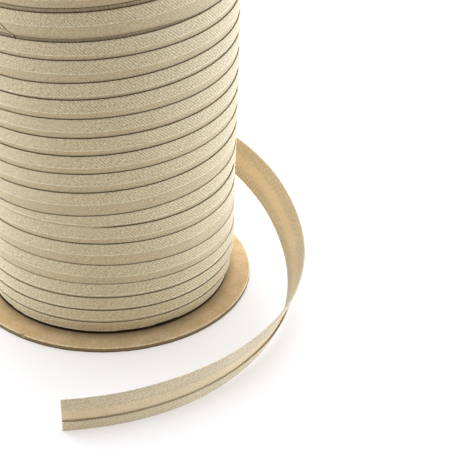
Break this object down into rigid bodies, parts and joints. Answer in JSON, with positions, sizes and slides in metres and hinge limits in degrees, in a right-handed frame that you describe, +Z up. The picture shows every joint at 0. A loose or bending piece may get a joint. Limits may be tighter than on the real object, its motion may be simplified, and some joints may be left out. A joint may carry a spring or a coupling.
{
  "type": "roll of bias binding on a flanged spool",
  "caption": "Large spool of folded bias binding between round kraft board flanges, its loose end drawn round to the front and standing on edge.",
  "frame": {"origin": "centre of the underside of the bottom flange, on the surface that the spool stands on", "axes": "+Z up along the spool's axis; the loose end is drawn out to the front, -Y, and stands on the surface there"},
  "size_m": [0.2016, 0.2392, 0.22],
  "materials": {
    "kraft_board": "uncoated brown kraft board, matt",
    "bias_cloth": "beige bias-cut cotton blend, matt, fine twill grain"
  },
  "bodies": {
    "root": {"bottom_flange": "kraft_board", "top_flange": "kraft_board", "wound_roll": "bias_cloth", "loose_end": "bias_cloth"}
  },
  "joints": []
}
